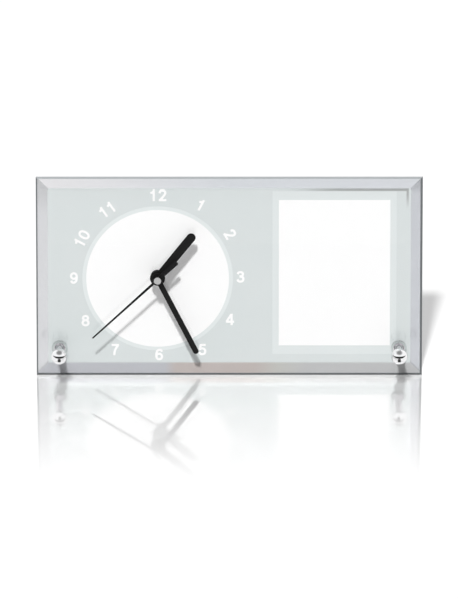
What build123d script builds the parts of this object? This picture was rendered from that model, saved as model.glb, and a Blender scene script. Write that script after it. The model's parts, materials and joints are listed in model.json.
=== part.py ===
"""Bevelled-glass desk clock with a blank photo panel.

A bevelled glass plate carries everything. Its back is silvered under the bevel and painted
inside it, with a round white dial and a white photo panel. A battery clock movement hangs
behind the dial on its threaded neck, and its three hands turn in front of the glass. Two
chrome feet, each a ball knob in front and a long rod behind, hold the plate leaning back.

Lengths are in millimetres and angles in degrees. +Z is up, +X is to the viewer's right and
the front of the clock faces -Y. The origin is on the table, under the middle of the object.
"""

import math
import os

from build123d import *

os.makedirs("parts", exist_ok=True)

# Glass plate
glass_width = 300
glass_height = 160
glass_thickness = 5
bevel_width = 9.5
bevel_drop = 2.2
seam_width = 0.9
seam_drop = 0.7
rear_arris = 0.4
foot_hole_radius = 3.5
neck_hole_radius = 4.5

# Layers on the back of the glass, and the hairline gap between two pieces seen through glass
film_gap = 0.02
coat_thickness = 0.15
backing_thickness = 0.25
coat_margin = 0.9

# Dial and photo panel: the gaps that they leave to the bevel and to each other. The hands'
# centre stands a little above the dial's.
dial_ring_width = 3
dial_left_gap = 26.3
dial_top_gap = 14.1
dial_bottom_gap = 9.9
dial_photo_gap = 30.75
centre_rise = 2.6
photo_side_border = 4.9
photo_end_border = 7
photo_right_gap = 10.65
photo_top_gap = 2
photo_bottom_gap = 7

# Feet
foot_side_inset = 18
foot_v = 22.3
stud_radius = 1.95
tapped_radius = 2
tapped_end_gap = 0.5
washer_radius = 6.1
front_washer_thickness = 1.2
rear_washer_thickness = 1
collar_radius = 3.35
collar_bore_radius = 2.1
front_collar_length = 2.2
rear_collar_length = 2.4
knob_flange_radius = 4.4
knob_flange_thickness = 0.8
knob_foot_radius = 3.9
knob_waist_radius = 2.95
knob_neck_radius = 3.1
knob_waist_height = 9
knob_ball_radius = 6.3
knob_ball_height = 22
knob_bore_depth = 12
leg_radius = 4.75
leg_length = 58
leg_bore_depth = 14
leg_end_round = 0.6
leg_groove_width = 1
leg_groove_depth = 0.5
leg_groove_from_seat = 3

# Clock movement: case and cover
case_side = 56
case_depth = 16
case_corner_radius = 3
case_wall = 1.4
case_front_plate = 1.5
cover_thickness = 1.4
cover_ledge = 0.5
cover_gap = 0.1
cover_corner_radius = 1.5
partition_v = -10.2
gasket_radius = 14
gasket_thickness = 1
neck_radius = 3.95
neck_height = 3.8
neck_bore_radius = 2.6
dial_washer_radius = 5.5
dial_washer_thickness = 0.5
nut_across_flats = 10
nut_thickness = 2.2
nut_chamfer = 0.3
thread_gap = 0.05

# Battery and its contacts
cell_radius = 7.1
cell_body_length = 49
cell_nub_radius = 2.6
cell_nub_length = 1.3
cell_edge_round = 0.8
cell_v = -19.1
cell_floor_gap = 0.25
contact_thickness = 0.4
contact_gap = 0.2
contact_width = 10
contact_from_floor = 2.5
contact_height = 11
lead_depth = 9
lead_width = 4
finger_notch_radius = 9
finger_notch_depth = 5

# Gear train. Depths are measured backwards from the front face of the case.
play = 0.1
pivot_radius = 0.5
pivot_gap = 0.06
pivot_depth = 0.8
seconds_arbor_radius = 0.6
minute_pipe_bore = 0.7
minute_pipe_radius = 1.7
hour_pipe_bore = 1.8
hour_pipe_radius = 2.5
wheel_thickness = 0.8
hour_wheel_thickness = 1
hour_wheel_depth = 1.8
minute_pinion_depth = 3.1
minute_pinion_length = 1.6
work_pinion_depth = 1.7
work_wheel_depth = 3.4
centre_wheel_depth = 4.85
clutch_flange_radius = 2.4
clutch_flange_depth = 5.75
clutch_flange_thickness = 0.3
third_pinion_depth = 4.7
third_wheel_depth = 6.3
seconds_pinion_depth = 6.2
seconds_wheel_depth = 7.5
step_pinion_depth = 7.4
step_wheel_depth = 8.8
rotor_pinion_depth = 8.6
rotor_pinion_length = 1.4
magnet_depth = 10.1
magnet_thickness = 2
magnet_radius = 2.4
bridge_depth = 12.4
bridge_thickness = 1.2
work_arbor_radius = 1
setting_knob_radius = 5.5
setting_knob_thickness = 2.8
setting_knob_gap = 0.4
setting_knob_ribs = 24
setting_rib_radius = 0.35

# Distances between arbors, and tooth counts. Each pair's module follows from the two.
work_distance = 9.6
third_distance = 9.18
step_distance = 9.6
rotor_distance = 7
minute_pinion_teeth = 10
work_wheel_teeth = 30
work_pinion_teeth = 8
hour_wheel_teeth = 32
seconds_pinion_teeth = 8
third_wheel_teeth = 60
third_pinion_teeth = 8
centre_wheel_teeth = 64
step_pinion_teeth = 8
seconds_wheel_teeth = 40
rotor_pinion_teeth = 8
step_wheel_teeth = 48

# Tooth form: heights as shares of the module, half-widths as shares of the tooth pitch
addendum_share = 0.85
dedendum_share = 1.15
root_half_share = 0.26
tip_half_share = 0.1

# Directions from the seconds arbor, anticlockwise from +X as seen from the front, and the gaps
# between the third wheel's rim and the arbors of the step wheel and the rotor
work_direction = 10
step_direction = 95
third_step_gap = 3.25
third_rotor_gap = 2.46

# Bridge over the train, placed from the seconds arbor
bridge_post_radius = 2
bridge_post_inset = 2.5
bridge_post_rise = 3.1
bridge_post_drop = 3
screw_radius = 0.8
screw_hole_radius = 0.85
screw_head_radius = 1.6
screw_head_thickness = 0.8
screw_depth = 6
bridge_half_width = 23
bridge_low_v = -9.6
bridge_step_v = 5.5
bridge_left_u = -12
bridge_right_u = 17
bridge_high_v = 15.5

# Stepping motor, placed from the rotor and from the walls of the case
stator_depth = 10.8
stator_thickness = 0.8
stator_half_width = 3.45
stator_wall_gap = 2.6
stator_right_length = 4.8
stator_leg_width = 3.8
stator_leg_offset = 2.1
stator_leg_margin = 1
stator_bore_radius = 3
stator_post_radius = 1.4
stator_post_inset = 2
stator_post_spacing = 7
coil_wall_gap = 1.5
core_width = 2
core_thickness = 1
coil_left_gap = 4.5
coil_right_gap = 5.5
coil_flange_thickness = 0.8
coil_flange_radius = 3.6
coil_barrel_radius = 1.6
coil_winding_radius = 3.2

# Circuit board in the corner of the case, with what it carries placed from its low left corner
board_width = 22.2
board_height = 9.7
board_depth = 10
board_thickness = 1.2
board_post_radius = 1.5
board_post_inset = 4
board_post_rise = 5
crystal_radius = 1
crystal_length = 6
crystal_inset = 4
crystal_rise = 7.5
chip_radius = 2.6
chip_height = 0.9
chip_round = 0.6
chip_inset = 15
chip_rise = 4

# Hands. Heights are measured forwards from the front of the glass, and angles clockwise
# from twelve o'clock.
hour_angle = 38.4
hour_length = 45.5
hour_root_half_width = 3.35
hour_tip_half_width = 3.5
hour_hub_radius = 5.9
hour_height = 4.7
hour_thickness = 0.6
minute_angle = 153.2
minute_length = 68
minute_root_half_width = 2.1
minute_tip_half_width = 2.2
minute_hub_radius = 4.4
minute_height = 6.3
minute_thickness = 0.5
hand_boss_height = 0.5
hand_boss_wall = 0.8
hand_edge_chamfer = 0.15
hand_grip = 0.02
second_angle = 226.9
second_length = 69.3
second_root_half_width = 1
second_tip_half_width = 0.55
second_tail_length = 20.9
second_tail_root_half_width = 1.5
second_tail_end_half_width = 1.8
second_tail_corner = 0.9
second_hub_radius = 2.8
second_height = 9
second_thickness = 0.4
second_cap_radius = 3.4
second_cap_height = 3.1
second_cap_round = 0.5
second_cap_inset_radius = 2.8
second_cap_inset_depth = 0.25

# How far cutting tools run past what they cut
overrun = 1

# The dial fills the height that its gaps leave, and the photo panel fills the rest. Places
# are measured from the middle of the plate's bottom edge.
inner_width = glass_width - 2 * bevel_width
inner_height = glass_height - 2 * bevel_width
ring_radius = (inner_height - dial_top_gap - dial_bottom_gap) / 2
dial_radius = ring_radius - dial_ring_width
dial_u = dial_left_gap + ring_radius - inner_width / 2
dial_v = bevel_width + dial_bottom_gap + ring_radius
centre_v = dial_v + centre_rise
border_width = inner_width - dial_left_gap - 2 * ring_radius - dial_photo_gap - photo_right_gap
border_height = inner_height - photo_top_gap - photo_bottom_gap
photo_width = border_width - 2 * photo_side_border
photo_height = border_height - 2 * photo_end_border
photo_u = (inner_width - border_width) / 2 - photo_right_gap
photo_v = bevel_width + photo_bottom_gap + border_height / 2

# Lean of the plate: the rear edge of the glass and the legs' ends touch the table together.
coat_n = -glass_thickness - film_gap
back_n = coat_n - coat_thickness - backing_thickness
rear_washer_n = back_n - film_gap
leg_seat_n = rear_washer_n - rear_washer_thickness - film_gap
leg_end_n = leg_seat_n - leg_length
glass_toe_n = -(glass_thickness - rear_arris)
lean = math.degrees(math.atan2(foot_v - leg_radius, glass_toe_n - leg_end_n - leg_end_round))
lean_sin = math.sin(math.radians(lean))
lean_cos = math.cos(math.radians(lean))
front_reach = foot_v * lean_sin - knob_ball_height * lean_cos - knob_ball_radius
leg_top = foot_v + leg_radius - leg_end_round
rear_reach = leg_top * lean_sin - (leg_end_n + leg_end_round) * lean_cos + leg_end_round
glass_normal = Vector(0, -lean_cos, lean_sin)
glass_up = Vector(0, lean_sin, lean_cos)
glass_foot = Vector(0, -(front_reach + rear_reach) / 2, -glass_toe_n * lean_sin)


def place(u, v, n):
    """Point u to the right, v up the glass and n in front of its front face."""
    return glass_foot + Vector(u, 0, 0) + glass_up * v + glass_normal * n


def facing(u, v, n):
    """Plane parallel to the glass, with its local z towards the viewer."""
    return Plane(origin=place(u, v, n), x_dir=(1, 0, 0), z_dir=glass_normal)


def beside(u, v):
    """Plane square to the glass: local x to the right, local y towards the viewer."""
    return Plane(origin=place(u, v, 0), x_dir=(1, 0, 0), z_dir=-glass_up)


def through(u, v):
    """Axis square to the glass, towards the viewer."""
    return Axis(place(u, v, 0), glass_normal)


def write(piece, name):
    """Labels a finished piece and writes it as parts/NAME.step."""
    piece.part.label = name
    export_step(piece.part, f"parts/{name}.step")


# Glass plate: ground flat, bevelled in front, with a narrow seam round its edge
glass_steps = (
    (rear_arris, -glass_thickness),
    (0, glass_toe_n),
    (0, -bevel_drop - seam_drop),
    (seam_width, -bevel_drop),
    (bevel_width, 0),
)
middle_v = glass_height / 2
foot_u = glass_width / 2 - foot_side_inset
foot_sides = (("left", -foot_u), ("right", foot_u))

with BuildPart() as glass_panel:
    for inset, n in glass_steps:
        with BuildSketch(facing(0, middle_v, n)):
            Rectangle(glass_width - 2 * inset, glass_height - 2 * inset)
    loft(ruled=True)
    with BuildSketch(facing(0, 0, overrun)):
        with Locations((-foot_u, foot_v), (foot_u, foot_v)):
            Circle(foot_hole_radius)
        with Locations((dial_u, centre_v)):
            Circle(neck_hole_radius)
    extrude(amount=-glass_thickness - 2 * overrun, mode=Mode.SUBTRACT)
write(glass_panel, "glass_panel")

# Layers on the back of the glass, all in one plane except the backing behind them
coat_width = glass_width - 2 * coat_margin
coat_height = glass_height - 2 * coat_margin

with BuildPart() as mirror_border:
    with BuildSketch(facing(0, middle_v, coat_n)):
        Rectangle(coat_width, coat_height)
        Rectangle(inner_width, inner_height, mode=Mode.SUBTRACT)
    extrude(amount=-coat_thickness)
write(mirror_border, "mirror_border")

with BuildPart() as colour_coat:
    with BuildSketch(facing(0, 0, coat_n)):
        with Locations((0, middle_v)):
            Rectangle(inner_width, inner_height)
        with Locations((dial_u, dial_v)):
            Circle(ring_radius, mode=Mode.SUBTRACT)
        with Locations((photo_u, photo_v)):
            Rectangle(border_width, border_height, mode=Mode.SUBTRACT)
        with Locations((-foot_u, foot_v), (foot_u, foot_v)):
            Circle(foot_hole_radius, mode=Mode.SUBTRACT)
    extrude(amount=-coat_thickness)
write(colour_coat, "colour_coat")

with BuildPart() as dial_ring:
    with BuildSketch(facing(dial_u, dial_v, coat_n)):
        Circle(ring_radius)
        Circle(dial_radius, mode=Mode.SUBTRACT)
    extrude(amount=-coat_thickness)
write(dial_ring, "dial_ring")

with BuildPart() as dial_disc:
    with BuildSketch(facing(dial_u, dial_v, coat_n)):
        Circle(dial_radius)
        with Locations((0, centre_rise)):
            Circle(neck_hole_radius, mode=Mode.SUBTRACT)
    extrude(amount=-coat_thickness)
write(dial_disc, "dial_disc")

with BuildPart() as photo_border:
    with BuildSketch(facing(0, 0, coat_n)):
        with Locations((photo_u, photo_v)):
            Rectangle(border_width, border_height)
            Rectangle(photo_width, photo_height, mode=Mode.SUBTRACT)
        with Locations((foot_u, foot_v)):
            Circle(foot_hole_radius, mode=Mode.SUBTRACT)
    extrude(amount=-coat_thickness)
write(photo_border, "photo_border")

with BuildPart() as photo_panel:
    with BuildSketch(facing(photo_u, photo_v, coat_n)):
        Rectangle(photo_width, photo_height)
    extrude(amount=-coat_thickness)
write(photo_panel, "photo_panel")

with BuildPart() as protective_backing:
    with BuildSketch(facing(0, 0, coat_n - coat_thickness)):
        with Locations((0, middle_v)):
            Rectangle(coat_width, coat_height)
        with Locations((-foot_u, foot_v), (foot_u, foot_v)):
            Circle(foot_hole_radius, mode=Mode.SUBTRACT)
        with Locations((dial_u, centre_v)):
            Circle(neck_hole_radius, mode=Mode.SUBTRACT)
    extrude(amount=-backing_thickness)
write(protective_backing, "protective_backing")

# Feet: on each side a ball knob in front and a rod behind, drawn together through the glass
# by a threaded stud, with a clear collared washer on either face
knob_seat_n = front_washer_thickness + 2 * film_gap
knob_top_n = knob_seat_n + knob_flange_thickness
knob_join_n = knob_ball_height - math.sqrt(knob_ball_radius**2 - knob_neck_radius**2)
stud_front_n = knob_seat_n + knob_bore_depth - tapped_end_gap
stud_rear_n = leg_seat_n - leg_bore_depth + tapped_end_gap

for side, u in foot_sides:
    with BuildPart() as front_washer:
        with BuildSketch(facing(u, foot_v, film_gap)):
            Circle(washer_radius)
        extrude(amount=front_washer_thickness)
        with BuildSketch(facing(u, foot_v, film_gap)):
            Circle(collar_radius)
        extrude(amount=-front_collar_length)
        with BuildSketch(facing(u, foot_v, film_gap + front_washer_thickness)):
            Circle(collar_bore_radius)
        extrude(amount=-front_washer_thickness - front_collar_length, mode=Mode.SUBTRACT)
    write(front_washer, f"front_washer_{side}")

    with BuildPart() as rear_washer:
        with BuildSketch(facing(u, foot_v, rear_washer_n)):
            Circle(washer_radius)
        extrude(amount=-rear_washer_thickness)
        with BuildSketch(facing(u, foot_v, rear_washer_n)):
            Circle(collar_radius)
        extrude(amount=rear_collar_length)
        with BuildSketch(facing(u, foot_v, rear_washer_n - rear_washer_thickness)):
            Circle(collar_bore_radius)
        extrude(amount=rear_washer_thickness + rear_collar_length, mode=Mode.SUBTRACT)
    write(rear_washer, f"rear_washer_{side}")

    with BuildPart() as foot_knob:
        with BuildSketch(beside(u, foot_v)):
            with BuildLine():
                Polyline(
                    (0, knob_ball_height + knob_ball_radius),
                    (0, knob_seat_n),
                    (knob_flange_radius, knob_seat_n),
                    (knob_flange_radius, knob_top_n),
                    (knob_foot_radius, knob_top_n),
                )
                ThreePointArc(
                    (knob_foot_radius, knob_top_n),
                    (knob_waist_radius, knob_waist_height),
                    (knob_neck_radius, knob_join_n),
                )
                ThreePointArc(
                    (knob_neck_radius, knob_join_n),
                    (knob_ball_radius, knob_ball_height),
                    (0, knob_ball_height + knob_ball_radius),
                )
            make_face()
        revolve(axis=through(u, foot_v))
        with BuildSketch(facing(u, foot_v, knob_seat_n)):
            Circle(tapped_radius)
        extrude(amount=knob_bore_depth, mode=Mode.SUBTRACT)
    write(foot_knob, f"foot_knob_{side}")

    with BuildPart() as rear_leg:
        with BuildSketch(facing(u, foot_v, leg_seat_n)):
            Circle(leg_radius)
        extrude(amount=-leg_length)
        fillet(rear_leg.edges().sort_by(through(u, foot_v))[0], leg_end_round)
        with BuildSketch(facing(u, foot_v, leg_seat_n - leg_groove_from_seat)):
            Circle(leg_radius + overrun)
            Circle(leg_radius - leg_groove_depth, mode=Mode.SUBTRACT)
        extrude(amount=-leg_groove_width, mode=Mode.SUBTRACT)
        with BuildSketch(facing(u, foot_v, leg_seat_n)):
            Circle(tapped_radius)
        extrude(amount=-leg_bore_depth, mode=Mode.SUBTRACT)
    write(rear_leg, f"rear_leg_{side}")

    with BuildPart() as foot_stud:
        with BuildSketch(facing(u, foot_v, stud_rear_n)):
            Circle(stud_radius)
        extrude(amount=stud_front_n - stud_rear_n)
    write(foot_stud, f"foot_stud_{side}")

# Everything below stands on the hands' centre line
case_n = back_n - gasket_thickness
case_half = case_side / 2
cavity_half = case_half - case_wall
partition_low_v = partition_v - case_wall
cover_seat_depth = case_depth - cover_thickness
bay_low_v = case_wall - case_half


def at_depth(depth, u=0, v=0):
    """Plane behind the case's front face, u and v away from the hands' centre."""
    return facing(dial_u + u, centre_v + v, case_n - depth)


def at_height(n):
    """Plane in front of the glass, on the hands' centre."""
    return facing(dial_u, centre_v, n)


def span(low, high):
    """Middle and length of a stretch."""
    return (low + high) / 2, high - low


def block(low_u, high_u, low_v, high_v):
    """Adds a rectangle between two corners to the active sketch."""
    middle_u, width = span(low_u, high_u)
    half_way_v, height = span(low_v, high_v)
    with Locations((middle_u, half_way_v)):
        Rectangle(width, height)


# Train layout
full_turn = 360
half_turn = full_turn / 2


def arm(distance, direction):
    """End of an arm from the origin, as (u, v)."""
    turn = math.radians(direction)
    return distance * math.cos(turn), distance * math.sin(turn)


def corner_angle(first, second, opposite):
    """Angle of a triangle between two of its sides, from the lengths of all three."""
    share = (first**2 + second**2 - opposite**2) / (2 * first * second)
    return math.degrees(math.acos(share))


motion_module = 2 * work_distance / (minute_pinion_teeth + work_wheel_teeth)
hour_module = 2 * work_distance / (work_pinion_teeth + hour_wheel_teeth)
third_module = 2 * third_distance / (seconds_pinion_teeth + third_wheel_teeth)
centre_module = 2 * third_distance / (third_pinion_teeth + centre_wheel_teeth)
seconds_module = 2 * step_distance / (step_pinion_teeth + seconds_wheel_teeth)
rotor_module = 2 * rotor_distance / (rotor_pinion_teeth + step_wheel_teeth)
third_tip_radius = third_module * (third_wheel_teeth / 2 + addendum_share)
third_step_distance = third_tip_radius + third_step_gap + pivot_radius
third_rotor_distance = third_tip_radius + third_rotor_gap + pivot_radius
third_corner = corner_angle(step_distance, third_distance, third_step_distance)
step_corner = corner_angle(step_distance, third_step_distance, third_distance)
rotor_corner = corner_angle(rotor_distance, third_step_distance, third_rotor_distance)
third_direction = step_direction + third_corner
rotor_direction = step_direction + half_turn - step_corner - rotor_corner
work_place = arm(work_distance, work_direction)
third_place = arm(third_distance, third_direction)
step_place = arm(step_distance, step_direction)
rotor_arm = arm(rotor_distance, rotor_direction)
rotor_place = (step_place[0] + rotor_arm[0], step_place[1] + rotor_arm[1])


def meshing(direction, teeth, first_tooth, driven_teeth):
    """Angle of a tooth of the gear that lies in that direction and meshes with this one."""
    past = direction - first_tooth
    gap = direction + half_turn + past * teeth / driven_teeth
    return gap + half_turn / driven_teeth


def toothed(teeth, module, first_tooth):
    """Adds a toothed disc to the active sketch, with one tooth at the angle first_tooth."""
    root = module * (teeth / 2 - dedendum_share)
    tip = module * (teeth / 2 + addendum_share)
    corners = [
        arm(radius, first_tooth + (tooth + share) * full_turn / teeth)
        for tooth in range(teeth)
        for radius, share in (
            (root, -root_half_share),
            (tip, -tip_half_share),
            (tip, tip_half_share),
            (root, root_half_share),
        )
    ]
    Polygon(*corners, align=None)


work_wheel_tooth = meshing(work_direction, minute_pinion_teeth, 0, work_wheel_teeth)
hour_wheel_tooth = meshing(work_direction + half_turn, work_pinion_teeth, 0, hour_wheel_teeth)
third_wheel_tooth = meshing(third_direction, seconds_pinion_teeth, 0, third_wheel_teeth)
centre_wheel_tooth = meshing(third_direction + half_turn, third_pinion_teeth, 0, centre_wheel_teeth)
step_pinion_tooth = meshing(step_direction, seconds_wheel_teeth, 0, step_pinion_teeth)
rotor_pinion_tooth = meshing(rotor_direction, step_wheel_teeth, 0, rotor_pinion_teeth)

# Posts for the bridge, the stator and the board
bridge_post_u = bridge_half_width - bridge_post_inset
bridge_post_places = (
    (-bridge_post_u, bridge_low_v + bridge_post_rise),
    (bridge_post_u, bridge_low_v + bridge_post_rise),
    (bridge_right_u - bridge_post_drop, bridge_high_v - bridge_post_drop),
)
coil_v = cavity_half - coil_wall_gap - coil_flange_radius
stator_left_u = stator_wall_gap - cavity_half
stator_bar_right_u = rotor_place[0] + stator_right_length
stator_leg_right_u = stator_bar_right_u + stator_leg_offset
stator_low_v = rotor_place[1] - stator_half_width
stator_bar_high_v = rotor_place[1] + stator_half_width
stator_high_v = coil_v + core_width / 2 + stator_leg_margin
stator_post_places = (
    (stator_left_u + stator_post_inset, stator_low_v + stator_post_inset),
    (stator_left_u + stator_post_inset + stator_post_spacing, stator_bar_high_v - stator_post_inset),
)
board_right_u = cavity_half - contact_thickness
board_high_v = cavity_half - contact_thickness
board_left_u = board_right_u - board_width
board_low_v = board_high_v - board_height
board_post_places = (
    (board_left_u + board_post_inset, board_low_v + board_post_rise),
    (board_right_u - board_post_inset, board_low_v + board_post_rise),
)

# Movement case: front shell with the threaded neck, the battery bay and the posts
neck_length = neck_height - case_n
pivot_places = (third_place, step_place, rotor_place, work_place)

with BuildPart() as movement_case:
    with BuildSketch(at_depth(0)):
        RectangleRounded(case_side, case_side, case_corner_radius)
    extrude(amount=-case_depth)
    with BuildSketch(at_depth(case_front_plate)):
        block(-cavity_half, cavity_half, partition_v, cavity_half)
        block(-cavity_half, cavity_half, bay_low_v, partition_low_v)
    extrude(amount=case_front_plate - case_depth, mode=Mode.SUBTRACT)
    with BuildSketch(at_depth(cover_seat_depth)):
        ledge_half = cavity_half + cover_ledge
        block(-ledge_half, ledge_half, partition_v - cover_ledge, ledge_half)
    extrude(amount=-cover_thickness, mode=Mode.SUBTRACT)
    with BuildSketch(at_depth(case_front_plate)):
        for side_u in (-cavity_half, cavity_half - contact_thickness):
            block(side_u, side_u + contact_thickness, partition_low_v, partition_v)
    extrude(amount=case_front_plate - cover_seat_depth, mode=Mode.SUBTRACT)
    notch_plane = Plane(
        origin=place(dial_u, centre_v - case_half - overrun, case_n - case_depth),
        x_dir=(1, 0, 0),
        z_dir=-glass_up,
    )
    with BuildSketch(notch_plane):
        Ellipse(finger_notch_radius, finger_notch_depth)
    extrude(amount=-case_wall - 2 * overrun, mode=Mode.SUBTRACT)
    with BuildSketch(at_depth(case_front_plate)):
        with Locations(*bridge_post_places):
            Circle(bridge_post_radius)
    extrude(amount=case_front_plate - bridge_depth)
    with BuildSketch(at_depth(case_front_plate)):
        with Locations(*stator_post_places):
            Circle(stator_post_radius)
    extrude(amount=case_front_plate - stator_depth)
    with BuildSketch(at_depth(case_front_plate)):
        with Locations(*board_post_places):
            Circle(board_post_radius)
    extrude(amount=case_front_plate - board_depth)
    with BuildSketch(at_depth(bridge_depth)):
        with Locations(*bridge_post_places):
            Circle(screw_hole_radius)
    extrude(amount=screw_depth, mode=Mode.SUBTRACT)
    with BuildSketch(at_depth(case_front_plate)):
        with Locations(*pivot_places):
            Circle(pivot_radius + pivot_gap)
    extrude(amount=pivot_depth, mode=Mode.SUBTRACT)
    with BuildSketch(at_depth(0)):
        Circle(neck_radius)
    extrude(amount=neck_length)
    with BuildSketch(at_depth(case_front_plate)):
        Circle(neck_bore_radius)
    extrude(amount=case_front_plate + neck_length, mode=Mode.SUBTRACT)
write(movement_case, "movement_case")

with BuildPart() as movement_cover:
    with BuildSketch(at_depth(cover_seat_depth)):
        cover_half = cavity_half + cover_ledge - cover_gap
        cover_low_v = partition_v - cover_ledge + cover_gap
        block(-cover_half, cover_half, cover_low_v, cover_half)
        with Locations(work_place):
            Circle(work_arbor_radius + play, mode=Mode.SUBTRACT)
    extrude(amount=-cover_thickness)
    upright = movement_cover.edges().filter_by(Axis((0, 0, 0), glass_normal))
    outer = upright.filter_by(GeomType.LINE)
    fillet(outer.group_by(Axis((0, 0, 0), glass_up))[-1], cover_corner_radius)
write(movement_cover, "movement_cover")

with BuildPart() as movement_gasket:
    with BuildSketch(at_height(back_n)):
        Circle(gasket_radius)
        Circle(neck_radius + play, mode=Mode.SUBTRACT)
    extrude(amount=-gasket_thickness)
write(movement_gasket, "movement_gasket")

with BuildPart() as dial_washer:
    with BuildSketch(at_height(0)):
        Circle(dial_washer_radius)
        Circle(neck_radius + play, mode=Mode.SUBTRACT)
    extrude(amount=dial_washer_thickness)
write(dial_washer, "dial_washer")

with BuildPart() as neck_nut:
    with BuildSketch(at_height(dial_washer_thickness)):
        RegularPolygon(nut_across_flats / 2, 6, major_radius=False)
        Circle(neck_radius + thread_gap, mode=Mode.SUBTRACT)
    extrude(amount=nut_thickness)
    rim = neck_nut.edges().group_by(through(dial_u, centre_v))[-1]
    chamfer(rim.filter_by(GeomType.LINE), nut_chamfer)
write(neck_nut, "neck_nut")

# Battery bay: one cell on its side, between a flat contact and a sprung one
contact_face_u = cavity_half - contact_thickness
cell_right_u = contact_face_u - contact_gap
cell_shoulder_u = cell_right_u - cell_nub_length
cell_left_u = cell_shoulder_u - cell_body_length
cell_depth = case_front_plate + cell_floor_gap + cell_radius
cell_end_plane = Plane(
    origin=place(dial_u + cell_left_u, centre_v + cell_v, case_n - cell_depth),
    x_dir=glass_up,
    z_dir=(1, 0, 0),
)

with BuildPart() as battery:
    with BuildSketch(cell_end_plane):
        Circle(cell_radius)
    extrude(amount=cell_body_length)
    fillet(battery.edges().filter_by(GeomType.CIRCLE), cell_edge_round)
    with BuildSketch(cell_end_plane.offset(cell_body_length)):
        Circle(cell_nub_radius)
    extrude(amount=cell_nub_length)
write(battery, "battery")

contact_low_v = cell_v - contact_width / 2
contact_high_v = cell_v + contact_width / 2
contact_depth = case_front_plate + contact_from_floor
lead_high_v = cavity_half

with BuildPart() as positive_contact:
    with BuildSketch(at_depth(contact_depth)):
        block(contact_face_u, cavity_half, contact_low_v, contact_high_v)
    extrude(amount=-contact_height)
    with BuildSketch(at_depth(lead_depth)):
        block(contact_face_u, cavity_half, contact_high_v, board_high_v)
    extrude(amount=-lead_width)
write(positive_contact, "positive_contact")

spring_tip_u = cell_left_u - contact_gap
with BuildPart() as negative_contact:
    with BuildSketch(at_depth(contact_depth)):
        block(-cavity_half, contact_thickness - cavity_half, contact_low_v, contact_high_v)
        with BuildLine():
            Polyline(
                (contact_thickness - cavity_half, contact_high_v),
                (spring_tip_u, cell_v + contact_thickness),
                (spring_tip_u, cell_v - contact_thickness),
                (contact_thickness - cavity_half, contact_low_v),
                (contact_thickness - cavity_half, contact_low_v + contact_thickness),
                (spring_tip_u - contact_thickness, cell_v),
                (contact_thickness - cavity_half, contact_high_v - contact_thickness),
                close=True,
            )
        make_face()
    extrude(amount=-contact_height)
    with BuildSketch(at_depth(lead_depth)):
        block(-cavity_half, contact_thickness - cavity_half, contact_high_v, lead_high_v)
        block(-cavity_half, board_left_u + contact_width, board_high_v, lead_high_v)
    extrude(amount=-lead_width)
write(negative_contact, "negative_contact")

# Hour wheel and its pipe, which carries the hour hand
hour_top_n = hour_height + hour_thickness

with BuildPart() as hour_wheel:
    with BuildSketch(at_depth(hour_wheel_depth)):
        toothed(hour_wheel_teeth, hour_module, hour_wheel_tooth)
    extrude(amount=-hour_wheel_thickness)
    with BuildSketch(at_depth(hour_wheel_depth)):
        Circle(hour_pipe_radius)
    extrude(amount=hour_top_n - case_n + hour_wheel_depth)
    with BuildSketch(at_depth(hour_wheel_depth + hour_wheel_thickness)):
        Circle(hour_pipe_bore)
    extrude(amount=hour_top_n - case_n + hour_wheel_depth + hour_wheel_thickness, mode=Mode.SUBTRACT)
write(hour_wheel, "hour_wheel")

# Minute pipe: a tube with the motion-work pinion, and a flange that grips the centre wheel
minute_top_n = minute_height + minute_thickness
clutch_end_depth = clutch_flange_depth + clutch_flange_thickness

with BuildPart() as minute_pipe:
    with BuildSketch(at_depth(clutch_end_depth)):
        Circle(minute_pipe_radius)
    extrude(amount=minute_top_n - case_n + clutch_end_depth)
    with BuildSketch(at_depth(clutch_end_depth)):
        Circle(clutch_flange_radius)
    extrude(amount=clutch_flange_thickness)
    with BuildSketch(at_depth(minute_pinion_depth)):
        toothed(minute_pinion_teeth, motion_module, 0)
    extrude(amount=-minute_pinion_length)
    with BuildSketch(at_depth(clutch_end_depth)):
        Circle(minute_pipe_bore)
    extrude(amount=minute_top_n - case_n + clutch_end_depth, mode=Mode.SUBTRACT)
write(minute_pipe, "minute_pipe")

with BuildPart() as centre_wheel:
    with BuildSketch(at_depth(centre_wheel_depth)):
        toothed(centre_wheel_teeth, centre_module, centre_wheel_tooth)
        Circle(minute_pipe_radius + pivot_gap, mode=Mode.SUBTRACT)
    extrude(amount=-wheel_thickness)
write(centre_wheel, "centre_wheel")

# Motion-work wheel: its arbor runs out through the cover to the setting knob
work_end_depth = case_depth + setting_knob_gap + setting_knob_thickness

with BuildPart() as motion_work_wheel:
    with BuildSketch(at_depth(work_pinion_depth, *work_place)):
        toothed(work_pinion_teeth, hour_module, 0)
    extrude(amount=work_pinion_depth - work_wheel_depth)
    with BuildSketch(at_depth(work_wheel_depth, *work_place)):
        toothed(work_wheel_teeth, motion_module, work_wheel_tooth)
    extrude(amount=-wheel_thickness)
    with BuildSketch(at_depth(work_wheel_depth, *work_place)):
        Circle(work_arbor_radius)
    extrude(amount=work_wheel_depth - work_end_depth)
    with BuildSketch(at_depth(work_pinion_depth, *work_place)):
        Circle(pivot_radius)
    extrude(amount=work_pinion_depth - case_front_plate + pivot_depth - pivot_gap)
write(motion_work_wheel, "motion_work_wheel")

with BuildPart() as setting_knob:
    with BuildSketch(at_depth(case_depth + setting_knob_gap, *work_place)):
        Circle(setting_knob_radius)
        with PolarLocations(setting_knob_radius, setting_knob_ribs):
            Circle(setting_rib_radius, mode=Mode.SUBTRACT)
        Circle(work_arbor_radius + hand_grip, mode=Mode.SUBTRACT)
    extrude(amount=-setting_knob_thickness)
write(setting_knob, "setting_knob")

pivot_front = case_front_plate - pivot_depth + pivot_gap
pivot_rear = bridge_depth + bridge_thickness

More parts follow.
